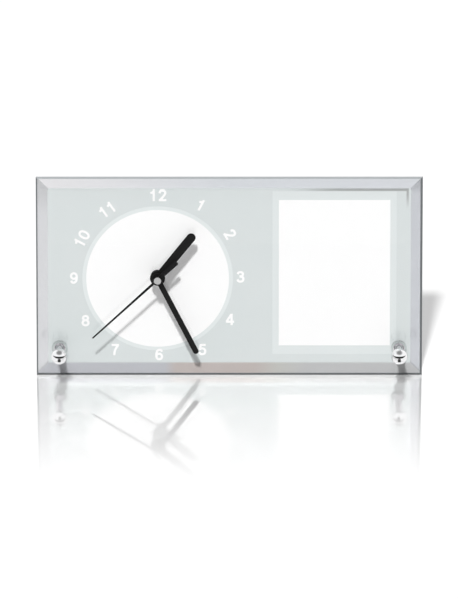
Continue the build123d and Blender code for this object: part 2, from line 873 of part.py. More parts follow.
with BuildPart() as third_wheel:
    with BuildSketch(at_depth(third_wheel_depth, *third_place)):
        toothed(third_wheel_teeth, third_module, third_wheel_tooth)
    extrude(amount=-wheel_thickness)
    with BuildSketch(at_depth(third_pinion_depth, *third_place)):
        toothed(third_pinion_teeth, centre_module, 0)
    extrude(amount=third_pinion_depth - third_wheel_depth)
    with BuildSketch(at_depth(pivot_front, *third_place)):
        Circle(pivot_radius)
    extrude(amount=pivot_front - pivot_rear)
write(third_wheel, "third_wheel")

# Seconds wheel: its arbor runs forward through the minute pipe to the second hand
second_top_n = second_height + second_thickness

with BuildPart() as seconds_wheel:
    with BuildSketch(at_depth(seconds_wheel_depth)):
        toothed(seconds_wheel_teeth, seconds_module, 0)
    extrude(amount=-wheel_thickness)
    with BuildSketch(at_depth(seconds_pinion_depth)):
        toothed(seconds_pinion_teeth, third_module, 0)
    extrude(amount=seconds_pinion_depth - seconds_wheel_depth)
    with BuildSketch(at_depth(seconds_wheel_depth)):
        Circle(seconds_arbor_radius)
    extrude(amount=second_top_n - case_n + seconds_wheel_depth)
    with BuildSketch(at_depth(seconds_wheel_depth)):
        Circle(pivot_radius)
    extrude(amount=seconds_wheel_depth - pivot_rear)
write(seconds_wheel, "seconds_wheel")

with BuildPart() as step_wheel:
    with BuildSketch(at_depth(step_wheel_depth, *step_place)):
        toothed(step_wheel_teeth, rotor_module, 0)
    extrude(amount=-wheel_thickness)
    with BuildSketch(at_depth(step_pinion_depth, *step_place)):
        toothed(step_pinion_teeth, seconds_module, step_pinion_tooth)
    extrude(amount=step_pinion_depth - step_wheel_depth)
    with BuildSketch(at_depth(pivot_front, *step_place)):
        Circle(pivot_radius)
    extrude(amount=pivot_front - pivot_rear)
write(step_wheel, "step_wheel")

with BuildPart() as rotor:
    with BuildSketch(at_depth(rotor_pinion_depth, *rotor_place)):
        toothed(rotor_pinion_teeth, rotor_module, rotor_pinion_tooth)
    extrude(amount=-rotor_pinion_length)
    with BuildSketch(at_depth(pivot_front, *rotor_place)):
        Circle(pivot_radius)
    extrude(amount=pivot_front - pivot_rear)
write(rotor, "rotor")

with BuildPart() as rotor_magnet:
    with BuildSketch(at_depth(magnet_depth, *rotor_place)):
        Circle(magnet_radius)
        Circle(pivot_radius, mode=Mode.SUBTRACT)
    extrude(amount=-magnet_thickness)
write(rotor_magnet, "rotor_magnet")

# Bridge over the train, and the screws that hold it to its posts
with BuildPart() as train_bridge:
    with BuildSketch(at_depth(bridge_depth)):
        block(-bridge_half_width, bridge_half_width, bridge_low_v, bridge_step_v)
        block(bridge_left_u, bridge_right_u, bridge_step_v, bridge_high_v)
        with Locations(third_place, step_place, rotor_place, (0, 0)):
            Circle(pivot_radius + pivot_gap, mode=Mode.SUBTRACT)
        with Locations(work_place):
            Circle(work_arbor_radius + play, mode=Mode.SUBTRACT)
        with Locations(*bridge_post_places):
            Circle(screw_hole_radius, mode=Mode.SUBTRACT)
    extrude(amount=-bridge_thickness)
write(train_bridge, "train_bridge")

with BuildPart() as bridge_screws:
    with BuildSketch(at_depth(pivot_rear)):
        with Locations(*bridge_post_places):
            Circle(screw_radius)
    extrude(amount=bridge_thickness + screw_depth - tapped_end_gap)
    with BuildSketch(at_depth(pivot_rear)):
        with Locations(*bridge_post_places):
            Circle(screw_head_radius)
    extrude(amount=-screw_head_thickness)
write(bridge_screws, "bridge_screws")

# Stepping motor: stator plate, core bar, bobbin and winding
with BuildPart() as stator:
    with BuildSketch(at_depth(stator_depth)):
        block(stator_left_u, stator_bar_right_u, stator_low_v, stator_bar_high_v)
        block(stator_left_u, stator_left_u + stator_leg_width, stator_bar_high_v, stator_high_v)
        leg_left_u = stator_leg_right_u - stator_leg_width
        block(leg_left_u, stator_leg_right_u, stator_bar_high_v, stator_high_v)
        with Locations(rotor_place):
            Circle(stator_bore_radius, mode=Mode.SUBTRACT)
    extrude(amount=-stator_thickness)
write(stator, "stator")

core_depth = stator_depth - core_thickness
coil_left_u = stator_left_u + coil_left_gap
coil_right_u = stator_leg_right_u - coil_right_gap
with BuildPart() as coil_core:
    with BuildSketch(at_depth(core_depth)):
        block(stator_left_u, stator_leg_right_u, coil_v - core_width / 2, coil_v + core_width / 2)
    extrude(amount=-core_thickness)
write(coil_core, "coil_core")


def along_coil(u):
    """Plane square to the coil's axis, on that axis."""
    middle_depth = core_depth + core_thickness / 2
    origin = place(dial_u + u, centre_v + coil_v, case_n - middle_depth)
    return Plane(origin=origin, x_dir=glass_up, z_dir=(1, 0, 0))


coil_length = coil_right_u - coil_left_u
with BuildPart() as coil_bobbin:
    with BuildSketch(along_coil(coil_left_u)):
        Circle(coil_barrel_radius)
    extrude(amount=coil_length)
    for flange_u in (coil_left_u, coil_right_u - coil_flange_thickness):
        with BuildSketch(along_coil(flange_u)):
            Circle(coil_flange_radius)
        extrude(amount=coil_flange_thickness)
    with BuildSketch(along_coil(coil_left_u)):
        Rectangle(core_width, core_thickness)
    extrude(amount=coil_length, mode=Mode.SUBTRACT)
write(coil_bobbin, "coil_bobbin")

with BuildPart() as coil_winding:
    with BuildSketch(along_coil(coil_left_u + coil_flange_thickness)):
        Circle(coil_winding_radius)
        Circle(coil_barrel_radius, mode=Mode.SUBTRACT)
    extrude(amount=coil_length - 2 * coil_flange_thickness)
write(coil_winding, "coil_winding")

# Circuit board with the quartz crystal's can and the potted chip
with BuildPart() as circuit_board:
    with BuildSketch(at_depth(board_depth)):
        block(board_left_u, board_right_u, board_low_v, board_high_v)
    extrude(amount=-board_thickness)
write(circuit_board, "circuit_board")

board_back_depth = board_depth + board_thickness
crystal_u = board_left_u + crystal_inset
crystal_v = board_low_v + crystal_rise
chip_u = board_left_u + chip_inset
chip_v = board_low_v + chip_rise
crystal_plane = Plane(
    origin=place(
        dial_u + crystal_u, centre_v + crystal_v, case_n - board_back_depth - crystal_radius
    ),
    x_dir=glass_up,
    z_dir=(1, 0, 0),
)
with BuildPart() as quartz_crystal:
    with BuildSketch(crystal_plane):
        Circle(crystal_radius)
    extrude(amount=crystal_length)
write(quartz_crystal, "quartz_crystal")

with BuildPart() as chip_cover:
    with BuildSketch(at_depth(board_back_depth, chip_u, chip_v)):
        Circle(chip_radius)
    extrude(amount=-chip_height)
    chip_axis = through(dial_u + chip_u, centre_v + chip_v)
    fillet(chip_cover.edges().filter_by(GeomType.CIRCLE).sort_by(chip_axis)[0], chip_round)
write(chip_cover, "chip_cover")


def pointing(angle, n):
    """Plane in front of the glass on the hands' centre, local y along a hand."""
    turn = math.radians(angle)
    across = Vector(1, 0, 0) * math.cos(turn) - glass_up * math.sin(turn)
    return Plane(origin=place(dial_u, centre_v, n), x_dir=across, z_dir=glass_normal)


def baton(length, root_half_width, tip_half_width, hub_radius):
    """Adds a round-ended hand that widens towards its tip to the active sketch."""
    shoulder = length - tip_half_width
    with BuildLine() as outline:
        Polyline(
            (-tip_half_width, shoulder),
            (-root_half_width, 0),
            (root_half_width, 0),
            (tip_half_width, shoulder),
        )
        ThreePointArc((tip_half_width, shoulder), (0, length), (-tip_half_width, shoulder))
    make_face(outline.line.edges())
    Circle(hub_radius)


# Hour and minute hands: stamped batons, each with a boss behind that grips its pipe
with BuildPart() as hour_hand:
    with BuildSketch(pointing(hour_angle, hour_height)):
        baton(hour_length, hour_root_half_width, hour_tip_half_width, hour_hub_radius)
    extrude(amount=hour_thickness)
    chamfer(hour_hand.edges().group_by(through(dial_u, centre_v))[-1], hand_edge_chamfer)
    with BuildSketch(at_height(hour_height)):
        Circle(hour_pipe_radius + hand_boss_wall)
    extrude(amount=-hand_boss_height)
    with BuildSketch(at_height(hour_top_n)):
        Circle(hour_pipe_radius + hand_grip)
    extrude(amount=-hour_thickness - hand_boss_height, mode=Mode.SUBTRACT)
write(hour_hand, "hour_hand")

with BuildPart() as minute_hand:
    with BuildSketch(pointing(minute_angle, minute_height)):
        baton(minute_length, minute_root_half_width, minute_tip_half_width, minute_hub_radius)
    extrude(amount=minute_thickness)
    chamfer(minute_hand.edges().group_by(through(dial_u, centre_v))[-1], hand_edge_chamfer)
    with BuildSketch(at_height(minute_height)):
        Circle(minute_pipe_radius + hand_boss_wall)
    extrude(amount=-hand_boss_height)
    with BuildSketch(at_height(minute_top_n)):
        Circle(minute_pipe_radius + hand_grip)
    extrude(amount=-minute_thickness - hand_boss_height, mode=Mode.SUBTRACT)
write(minute_hand, "minute_hand")

# Second hand: a needle with a broad tail, and a turned cap over its hub
with BuildPart() as second_hand:
    with BuildSketch(pointing(second_angle, second_height)):
        with BuildLine():
            Polyline(
                (-second_root_half_width, 0),
                (-second_tip_half_width, second_length),
                (second_tip_half_width, second_length),
                (second_root_half_width, 0),
                close=True,
            )
        make_face()
        with BuildLine():
            Polyline(
                (second_tail_root_half_width, 0),
                (second_tail_end_half_width, second_tail_corner - second_tail_length),
                (second_tail_end_half_width - second_tail_corner, -second_tail_length),
                (second_tail_corner - second_tail_end_half_width, -second_tail_length),
                (-second_tail_end_half_width, second_tail_corner - second_tail_length),
                (-second_tail_root_half_width, 0),
                close=True,
            )
        make_face()
        Circle(second_hub_radius)
        Circle(seconds_arbor_radius + hand_grip, mode=Mode.SUBTRACT)
    extrude(amount=second_thickness)
write(second_hand, "second_hand")

cap_top_n = second_top_n + second_cap_height
with BuildPart() as second_hand_cap:
    with BuildSketch(at_height(second_top_n)):
        Circle(second_cap_radius)
    extrude(amount=second_cap_height)
    cap_edges = second_hand_cap.edges().filter_by(GeomType.CIRCLE)
    cap_edge = cap_edges.sort_by(through(dial_u, centre_v))[-1]
    fillet(cap_edge, second_cap_round)
    with BuildSketch(at_height(cap_top_n)):
        Circle(second_cap_inset_radius)
    extrude(amount=-second_cap_inset_depth, mode=Mode.SUBTRACT)
write(second_hand_cap, "second_hand_cap")

with BuildPart() as cap_disc:
    with BuildSketch(at_height(cap_top_n - second_cap_inset_depth)):
        Circle(second_cap_inset_radius - hand_grip)
    extrude(amount=second_cap_inset_depth)
write(cap_disc, "cap_disc")
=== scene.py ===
"""Dresses the bevelled-glass desk clock: finishes for every part, printed numerals, the moulded
marks on the back, and the white table that the clock stands on. Lengths in the sections are in
millimetres along the plate: u to the right, v up the glass, n out of its front face."""

import json
import math

import bpy
from mathutils import Matrix, Vector


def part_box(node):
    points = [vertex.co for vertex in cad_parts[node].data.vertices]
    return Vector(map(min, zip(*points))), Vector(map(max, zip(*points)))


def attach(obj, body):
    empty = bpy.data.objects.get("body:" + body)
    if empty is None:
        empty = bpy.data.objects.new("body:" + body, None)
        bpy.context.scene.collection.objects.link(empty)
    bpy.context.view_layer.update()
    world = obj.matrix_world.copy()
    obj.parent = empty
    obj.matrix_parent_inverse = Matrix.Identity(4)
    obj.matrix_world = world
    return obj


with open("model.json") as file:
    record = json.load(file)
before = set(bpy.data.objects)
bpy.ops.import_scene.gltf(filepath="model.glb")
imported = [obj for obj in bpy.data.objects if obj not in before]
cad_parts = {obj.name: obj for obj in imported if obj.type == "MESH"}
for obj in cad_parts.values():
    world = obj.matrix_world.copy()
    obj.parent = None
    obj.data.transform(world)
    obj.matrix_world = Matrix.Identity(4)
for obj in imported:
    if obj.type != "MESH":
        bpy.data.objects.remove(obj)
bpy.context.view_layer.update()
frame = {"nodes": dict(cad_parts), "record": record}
nodes = frame["nodes"]


# Glass plate
# 5 mm float glass, cut, ground and polished to a wide flat bevel, with the sharp outer edge taken
# off by a belt. The polished faces are clear; the belt leaves the rim and the edge frosted.
mm = 0.001
plate_width = 300
plate_height = 160
# The wider rim on the right adds painted shade on that side.
rim_left, rim_right, rim_low, rim_top = 1.2, 1.8, 1.2, 1.2  # widths of the frosted rim

foot = next(m for m in frame["record"]["mounts"] if m["name"] == "glass_foot")
plate_up = -Vector(foot["axis"])
plate_out = Vector((1, 0, 0)).cross(plate_up)
foot_depth = 3.75  # from the plate's front face to the middle of the face it stands on
plate_foot = Vector(foot["pos_m"]) + plate_out * foot_depth * mm
lean = math.asin(plate_up.y)
plate_turn = math.pi / 2 - lean
plate_place = Matrix.Translation(plate_foot) @ Matrix.Rotation(plate_turn, 4, "X")
plate_origin = plate_place.inverted().translation
# A Mapping node with these settings gives a point's place on the plate: u, v and n, in metres.
to_plate = {"Rotation": (-plate_turn, 0, 0), "Location": plate_origin}


def linear(hex_colour):
    """The linear colour of an sRGB hex value, with its alpha."""
    parts = [int(hex_colour[i : i + 2], 16) / 255 for i in (0, 2, 4)]
    return *[c / 12.92 if c <= 0.04045 else ((c + 0.055) / 1.055) ** 2.4 for c in parts], 1


def add(tree, kind, inputs=None, **settings):
    """Adds a node with its settings, and with values or links on its inputs."""
    node = tree.nodes.new("ShaderNode" + kind)
    for name, value in settings.items():
        setattr(node, name, value)
    for name, value in (inputs or {}).items():
        if isinstance(value, bpy.types.NodeSocket):
            tree.links.new(value, node.inputs[name])
        else:
            node.inputs[name].default_value = value
    return node


def finish(name):
    """A new material with an empty node tree, as (material, tree)."""
    material = bpy.data.materials.new(name)
    material.use_nodes = True
    material.node_tree.nodes.clear()
    return material, material.node_tree


def dress(material, *names):
    """Gives these nodes of the frame that material."""
    for name in names:
        nodes[name].data.materials.clear()
        nodes[name].data.materials.append(material)


# Polished float glass. It is water clear, and frosted where the belt ground it. The frosted rim
# is painted dark grey in painted shade along the plate's edges, and paler along the top in painted
# light. The grit, about 0.1 mm, is drawn at 0.4 mm so that it shows.
glass, tree = finish("polished_float_glass")
glass_ior = 1.52
spot = add(tree, "TexCoord").outputs["Object"]
flat = add(tree, "Mapping", {"Vector": spot, **to_plate})
rim_u = (rim_left - rim_right) / 2
rim_v = (plate_height + rim_low - rim_top) / 2
from_middle = add(
    tree, "VectorMath", {0: flat.outputs[0], 1: (rim_u * mm, rim_v * mm, 0)}, operation="SUBTRACT"
)
aside = add(tree, "VectorMath", {0: from_middle.outputs[0]}, operation="ABSOLUTE")
clear_u = (plate_width - rim_left - rim_right) / 2
clear_v = (plate_height - rim_low - rim_top) / 2
past_rim = add(
    tree,
    "VectorMath",
    {0: aside.outputs[0], 1: (clear_u * mm, clear_v * mm, 1)},
    operation="SUBTRACT",
)
past = add(tree, "SeparateXYZ", {0: past_rim.outputs[0]})
farther = add(tree, "Math", {0: past.outputs["X"], 1: past.outputs["Y"]}, operation="MAXIMUM")
hair = 0.02
rim = add(tree, "Math", {0: farther.outputs[0], 1: hair * mm}, operation="GREATER_THAN")
clear = add(
    tree,
    "BsdfPrincipled",
    {
        "Base Color": linear("FFFFFF"),
        "Roughness": 0,
        "IOR": glass_ior,
        "Transmission Weight": 1,
    },
)
grit_size = 0.4
grit = add(tree, "TexNoise", {"Vector": spot, "Scale": 1 / (grit_size * mm), "Detail": 2})
# The rim's darker grey is painted shade, and the paler one, along the top, is painted light.
greys = []
for darker, lighter in (("6E7274", "7E8284"), ("A0A4A6", "B0B4B6")):
    grey = add(tree, "ValToRGB", {0: grit.outputs["Fac"]})
    grey.color_ramp.elements[0].position = 0.35
    grey.color_ramp.elements[0].color = linear(darker)
    grey.color_ramp.elements[1].position = 0.65
    grey.color_ramp.elements[1].color = linear(lighter)
    greys.append(grey)
painted_light_top = add(
    tree, "Math", {0: past.outputs["Y"], 1: past.outputs["X"]}, operation="GREATER_THAN"
)
middle = add(tree, "SeparateXYZ", {0: from_middle.outputs[0]})
upper = add(tree, "Math", {0: middle.outputs["Y"], 1: 0}, operation="GREATER_THAN")
painted_light_top = add(tree, "Math", {0: painted_light_top.outputs[0], 1: upper.outputs[0]}, operation="MULTIPLY")
grey = add(
    tree,
    "Mix",
    {"Factor": painted_light_top.outputs[0], 6: greys[0].outputs[0], 7: greys[1].outputs[0]},
    data_type="RGBA",
)
ground = add(
    tree,
    "BsdfPrincipled",
    {
        "Base Color": grey.outputs[2],
        "Roughness": 0.55,
        "IOR": glass_ior,
        "Specular IOR Level": 0.15,
    },
)
glazed = add(tree, "MixShader", {0: rim.outputs[0], 1: clear.outputs[0], 2: ground.outputs[0]})
path = add(tree, "LightPath")
unseen = add(
    tree,
    "Math",
    {0: path.outputs["Is Shadow Ray"], 1: path.outputs["Is Diffuse Ray"]},
    operation="MAXIMUM",
)
open_way = add(tree, "BsdfTransparent")
surface = add(
    tree, "MixShader", {0: unseen.outputs[0], 1: glazed.outputs[0], 2: open_way.outputs[0]}
)
add(tree, "OutputMaterial", {"Surface": surface.outputs[0]})
dress(glass, "glass_panel")


# Silvered strip
# A silver lacquer sprayed behind the bevel, with a satin lustre. It mirrors softly, and its
# colour holds painted reflection: each strip has its own tones, with faint straw, rose and blue
# tints along it, and the side strips darken towards the top corners in painted shade.
silver, tree = finish("silver_lacquer")
spot = add(tree, "TexCoord").outputs["Object"]
flat = add(tree, "Mapping", {"Vector": spot, **to_plate})
along = add(tree, "SeparateXYZ", {0: flat.outputs[0]})
from_middle = add(
    tree,
    "VectorMath",
    {0: flat.outputs[0], 1: (0, plate_height / 2 * mm, 0)},
    operation="SUBTRACT",
)
aside = add(tree, "VectorMath", {0: from_middle.outputs[0]}, operation="ABSOLUTE")
outward = add(
    tree,
    "VectorMath",
    {0: aside.outputs[0], 1: (plate_width / 2 * mm, plate_height / 2 * mm, 0)},
    operation="SUBTRACT",
)
edge = add(tree, "SeparateXYZ", {0: outward.outputs[0]})


def painted_strip_tones(position, start, end, stops):
    """The painted reflection tones along one strip, between stops given in millimetres along it."""
    share = add(
        tree, "MapRange", {"Value": position, "From Min": start * mm, "From Max": end * mm}
    )
    blend = add(tree, "ValToRGB", {0: share.outputs[0]})
    ready = blend.color_ramp.elements
    for index, (place, colour) in enumerate(stops):
        at = (place - start) / (end - start)
        stop = ready[index] if index < 2 else ready.new(at)
        stop.position = at
        stop.color = linear(colour)
    return blend.outputs[0]


half = plate_width / 2
# Painted reflection: the tones of the low, high, left and right strips. The sides darken to the top
# in painted shade.
low_strip = painted_strip_tones(
    along.outputs["X"],
    -half,
    half,
    ((-50, "E1E3E9"), (-42, "E4DAD6"), (20, "E4DAD6"), (38, "E6E6E1"), (60, "E3E4E5")),
)
high_strip = painted_strip_tones(
    along.outputs["X"], -half, half, ((-half, "E9E8EA"), (0, "D6DADF"), (half, "D7DADF"))
)
left_strip = painted_strip_tones(along.outputs["Y"], 0, plate_height, ((130, "DBDCDF"), (158, "C3C4C6")))
right_strip = painted_strip_tones(along.outputs["Y"], 0, plate_height, ((146, "CBCED4"), (158, "A4A6AB")))

is_low = add(
    tree, "Math", {0: along.outputs["Y"], 1: plate_height / 2 * mm}, operation="LESS_THAN"
)
is_right = add(tree, "Math", {0: along.outputs["X"], 1: 0}, operation="GREATER_THAN")
is_side = add(
    tree, "Math", {0: edge.outputs["X"], 1: edge.outputs["Y"]}, operation="GREATER_THAN"
)
level = add(
    tree, "Mix", {"Factor": is_low.outputs[0], 6: high_strip, 7: low_strip}, data_type="RGBA"
)
upright = add(
    tree, "Mix", {"Factor": is_right.outputs[0], 6: left_strip, 7: right_strip}, data_type="RGBA"
)
painted_tones = add(
    tree,
    "Mix",
    {"Factor": is_side.outputs[0], 6: level.outputs[2], 7: upright.outputs[2]},
    data_type="RGBA",
)
silvered = add(
    tree,
    "BsdfPrincipled",
    {"Base Color": painted_tones.outputs[2], "Metallic": 0.33, "Roughness": 0.14},
)
add(tree, "OutputMaterial", {"Surface": silvered.outputs[0]})
dress(silver, "mirror_border")


# Colour coats
# Screen-printed lacquers behind the glass: a pale grey-green field, a paler ring and border, and
# the white dial and photo panel. The screen leaves a faint cloudiness about 30 mm across.
def lacquer(name, colour, darker, *names):
    """A flat printed lacquer between two close tones, on these nodes."""
    material, tree = finish(name)
    spot = add(tree, "TexCoord").outputs["Object"]
    cloud_size = 30
    cloud = add(tree, "TexNoise", {"Vector": spot, "Scale": 1 / (cloud_size * mm), "Detail": 3})
    tone = add(tree, "ValToRGB", {0: cloud.outputs["Fac"]})
    tone.color_ramp.elements[0].position = 0.3
    tone.color_ramp.elements[0].color = linear(darker)
    tone.color_ramp.elements[1].position = 0.7
    tone.color_ramp.elements[1].color = linear(colour)
    paint = add(
        tree,
        "BsdfPrincipled",
        {"Base Color": tone.outputs[0], "Roughness": 0.5, "Specular IOR Level": 0.2},
    )
    add(tree, "OutputMaterial", {"Surface": paint.outputs[0]})
    dress(material, *names)
    return material, tree, tone, paint


tree, tone, paint = lacquer("grey_green_lacquer", "D6DCDC", "D4DBDB", "colour_coat")[1:]
lacquer("pale_ring_lacquer", "E2E8E8", "E1E7E7", "dial_ring")
lacquer("pale_border_lacquer", "DEE4E4", "DDE3E3", "photo_border")
white_ink = lacquer("white_lacquer", "FEFEFE", "FDFDFD", "dial_disc", "photo_panel")[0]

# In the upper right corner a thin dark line of painted shade runs along the bevel's inner edge,
# and fades out along the top and down the side.
shade_line_width = 1.8
dark_band_top = plate_height - 10.4
shade_line_side = plate_width / 2 - 11.7
shade_line_start = 40
shade_line_full = 90
shade_line_low = 132
shade_line_high = 148
soft = 0.5
above = dark_band_top + shade_line_width / 2
below = dark_band_top - shade_line_width / 2
beyond = shade_line_side + shade_line_width / 2
within = shade_line_side - shade_line_width / 2
spot = next(n for n in tree.nodes if n.type == "TEX_COORD").outputs["Object"]
flat = add(tree, "Mapping", {"Vector": spot, **to_plate})
place = add(tree, "SeparateXYZ", {0: flat.outputs[0]})
stretches = []
for limits in (
    (
        ("Y", below - soft, below + soft),
        ("Y", above + soft, above - soft),
        ("X", shade_line_start, shade_line_full),
        ("X", beyond + soft, beyond - soft),
    ),
    (
        ("X", within - soft, within + soft),
        ("X", beyond + soft, beyond - soft),
        ("Y", shade_line_low, shade_line_high),
        ("Y", above + soft, above - soft),
    ),
):
    shown = 1
    for axis, start, end in limits:
        ramp = add(
            tree,
            "MapRange",
            {"Value": place.outputs[axis], "From Min": start * mm, "From Max": end * mm},
            interpolation_type="SMOOTHSTEP",
        )
        shown = add(tree, "Math", {0: shown, 1: ramp.outputs[0]}, operation="MULTIPLY").outputs[0]
    stretches.append(shown)
painted_shade_line = add(tree, "Math", {0: stretches[0], 1: stretches[1]}, operation="MAXIMUM")
# Along the line, the coat's colour is mixed to a darker grey, which is painted shade.
shaded_coat = add(
    tree,
    "Mix",
    {"Factor": painted_shade_line.outputs[0], 6: tone.outputs[0], 7: linear("A3A6A6")},
    data_type="RGBA",
)
tree.links.new(shaded_coat.outputs[2], paint.inputs["Base Color"])


# Numerals
# Twelve plain bold numerals, screen printed in white on the back of the glass. From three round
# to nine, and at twelve, they stand upright, and the other four lean round with the dial.
dial_u = -55.7
dial_v = 77.9
numeral_height = 9.3
print_n = -5.012
print_thickness = 0.025

# Strokes of each digit on a field one high: x to the right and y up. Smooth runs of points are
# drawn as one stroke, and strokes meet squarely at corners. The stroke's width and the way from
# one digit to the next are measured on the same field.
stroke = 0.19
digit_advance = 0.78
digit_strokes = {
    "0": (((0.385, 0.905), (0.13, 0.5), (0.385, 0.095), (0.64, 0.5), (0.385, 0.905)),),
    "1": (
        ((0.44, 0), (0.44, 1)),
        ((0.44, 0.88), (0.34, 0.77), (0.16, 0.695)),
    ),
    "2": (
        (
            (0.14, 0.68), (0.2, 0.85), (0.38, 0.91), (0.57, 0.85),
            (0.615, 0.71), (0.5, 0.47), (0.17, 0.1),
        ),
        ((0.07, 0.085), (0.71, 0.085)),
    ),
    "3": (
        (
            (0.14, 0.74), (0.22, 0.87), (0.37, 0.91), (0.53, 0.86),
            (0.58, 0.73), (0.51, 0.59), (0.3, 0.54),
        ),
        (
            (0.3, 0.54), (0.54, 0.48), (0.62, 0.3), (0.54, 0.14),
            (0.37, 0.09), (0.2, 0.14), (0.12, 0.28),
        ),
    ),
    "4": (
        ((0.53, 0), (0.53, 1)),
        ((0.05, 0.3), (0.74, 0.3)),
        ((0.5, 0.93), (0.11, 0.33)),
    ),
    "5": (
        ((0.2, 0.905), (0.66, 0.905)),
        ((0.25, 0.95), (0.17, 0.46)),
        (
            (0.15, 0.52), (0.37, 0.6), (0.56, 0.52), (0.62, 0.33),
            (0.54, 0.14), (0.37, 0.09), (0.2, 0.14), (0.12, 0.28),
        ),
    ),
    "6": (
        ((0.39, 0.57), (0.155, 0.33), (0.39, 0.09), (0.625, 0.33), (0.39, 0.57)),
        ((0.15, 0.36), (0.165, 0.62), (0.26, 0.84), (0.42, 0.91), (0.56, 0.86), (0.62, 0.74)),
    ),
    "7": (
        ((0.08, 0.9), (0.7, 0.9)),
        ((0.65, 0.88), (0.46, 0.62), (0.35, 0.35), (0.3, 0)),
    ),
    "8": (
        ((0.385, 0.91), (0.175, 0.73), (0.385, 0.55), (0.595, 0.73), (0.385, 0.91)),
        ((0.385, 0.54), (0.14, 0.315), (0.385, 0.09), (0.63, 0.315), (0.385, 0.54)),
    ),
    "9": (
        ((0.38, 0.91), (0.145, 0.67), (0.38, 0.43), (0.615, 0.67), (0.38, 0.91)),
        ((0.62, 0.64), (0.605, 0.38), (0.51, 0.16), (0.35, 0.09), (0.21, 0.14), (0.15, 0.26)),
    ),
}
# Each numeral with its middle, to the right of the dial's and above it, and its turn in degrees.
numeral_places = (
    ("12", 0.3, 67.3, 0),
    ("1", 33.5, 59.5, -28),
    ("2", 56.4, 35.9, -60),
    ("3", 64.5, 1.3, 0),
    ("4", 56.2, -33.3, 0),
    ("5", 34.8, -57.8, 0),
    ("6", 1.1, -61.9, 0),
    ("7", -33.1, -57.8, 0),
    ("8", -56.1, -34.3, 0),
    ("9", -65, 0.4, 0),
    ("10", -58.8, 32.3, 60),
    ("11", -39, 55.8, 35),
)


def alone(piece):
    """Selects this object and no other, and makes it the active one."""
    bpy.ops.object.select_all(action="DESELECT")
    piece.select_set(True)
    bpy.context.view_layer.objects.active = piece


def brushed(points, shift, width, depth):
    """One stroke: a flat bar of this width and depth along a smooth line of points."""
    bpy.ops.curve.primitive_bezier_curve_add()
    line = bpy.context.object
    line.data.dimensions = "3D"
    line.data.twist_mode = "Z_UP"
    line.data.resolution_u = 10
    spline = line.data.splines[0]
    closed = points[0] == points[-1]
    corners = points[:-1] if closed else points
    spline.bezier_points.add(len(corners) - 2)
    spline.use_cyclic_u = closed
    straight = len(corners) == 2
    for point, (x, y) in zip(spline.bezier_points, corners):
        point.co = (x + shift, y, 0)
        point.handle_left_type = point.handle_right_type = "VECTOR" if straight else "AUTO"
    bpy.ops.curve.primitive_bezier_circle_add()
    profile = bpy.context.object
    corners = ((-1, -1), (-1, 1), (1, 1), (1, -1))
    for point, (x, y) in zip(profile.data.splines[0].bezier_points, corners):
        point.handle_left_type = point.handle_right_type = "VECTOR"
        point.co = (x * width / 2, y * depth / 2, 0)
    profile.data.resolution_u = 1
    line.data.bevel_mode = "OBJECT"
    line.data.bevel_object = profile
    line.data.use_fill_caps = True
    alone(line)
    bpy.ops.object.convert(target="MESH")
    bpy.data.objects.remove(profile)
    return line


def joined(strokes):
    """Welds crossing strokes into one closed mesh. Each is a little deeper than the one before, so
    that no two of their faces lie in one plane."""
    weld = 0.0001
    deeper = 0.08
    for place, bar in enumerate(strokes):
        alone(bar)
        bpy.ops.object.mode_set(mode="EDIT")
        bpy.ops.mesh.select_all(action="SELECT")
        bpy.ops.mesh.remove_doubles(threshold=weld)
        bpy.ops.mesh.normals_make_consistent(inside=False)
        bpy.ops.transform.resize(value=(1, 1, 1 + deeper * place))
        bpy.ops.object.mode_set(mode="OBJECT")
    mark = strokes[0]
    for extra in strokes[1:]:
        alone(mark)
        union = mark.modifiers.new("stroke", "BOOLEAN")
        union.operation = "UNION"
        union.solver = "EXACT"
        union.object = extra
        bpy.ops.object.modifier_apply(modifier=union.name)
        bpy.data.objects.remove(extra)
    alone(mark)
    bpy.ops.object.mode_set(mode="EDIT")
    bpy.ops.mesh.select_all(action="SELECT")
    bpy.ops.mesh.dissolve_degenerate(threshold=weld)
    bpy.ops.object.mode_set(mode="OBJECT")
    bpy.ops.object.shade_flat()
    return mark


def put(piece, place, material):
    """Puts a piece drawn in millimetres at its place on the plate and gives it its material."""
    alone(piece)
    piece.matrix_world = plate_place @ Matrix.Scale(mm, 4) @ place
    bpy.ops.object.transform_apply(location=True, rotation=True, scale=True)
    piece.data.materials.append(material)


for text, u, v, turn in numeral_places:
    ink = print_thickness / numeral_height
    numeral = joined(
        [
            brushed(points, digit_advance * (place - len(text) / 2), stroke, ink)
            for place, digit in enumerate(text)
            for points in digit_strokes[digit]
        ]
    )
    numeral.name = "numeral_" + text
    middle = Matrix.Translation((0, -0.5, 0))
    upright = Matrix.Rotation(math.radians(turn), 4, "Z") @ Matrix.Scale(numeral_height, 4) @ middle
    at = Matrix.Translation((dial_u + u, dial_v + v, print_n - print_thickness / 2))
    put(numeral, at @ upright, white_ink)
    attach(numeral, "base")


# Backing
# A grey two-part lacquer sprayed over the prints to protect them. It has the fine orange-peel
# skin of a spray gun, about 2 mm from crest to crest.
backing, tree = finish("sprayed_grey_lacquer")
spot = add(tree, "TexCoord").outputs["Object"]
peel_size = 2
peel = add(tree, "TexNoise", {"Vector": spot, "Scale": 1 / (peel_size * mm), "Detail": 1})
dents = add(tree, "Bump", {"Height": peel.outputs["Fac"], "Distance": 0.06 * mm, "Strength": 0.5})
cloud_size = 40
cloud = add(tree, "TexNoise", {"Vector": spot, "Scale": 1 / (cloud_size * mm), "Detail": 2})
tone = add(tree, "ValToRGB", {0: cloud.outputs["Fac"]})
tone.color_ramp.elements[0].color = linear("C6C9CA")
tone.color_ramp.elements[1].color = linear("D0D3D4")
coat = add(
    tree,
    "BsdfPrincipled",
    {"Base Color": tone.outputs[0], "Roughness": 0.42, "Normal": dents.outputs[0]},
)
add(tree, "OutputMaterial", {"Surface": coat.outputs[0]})
dress(backing, "protective_backing")


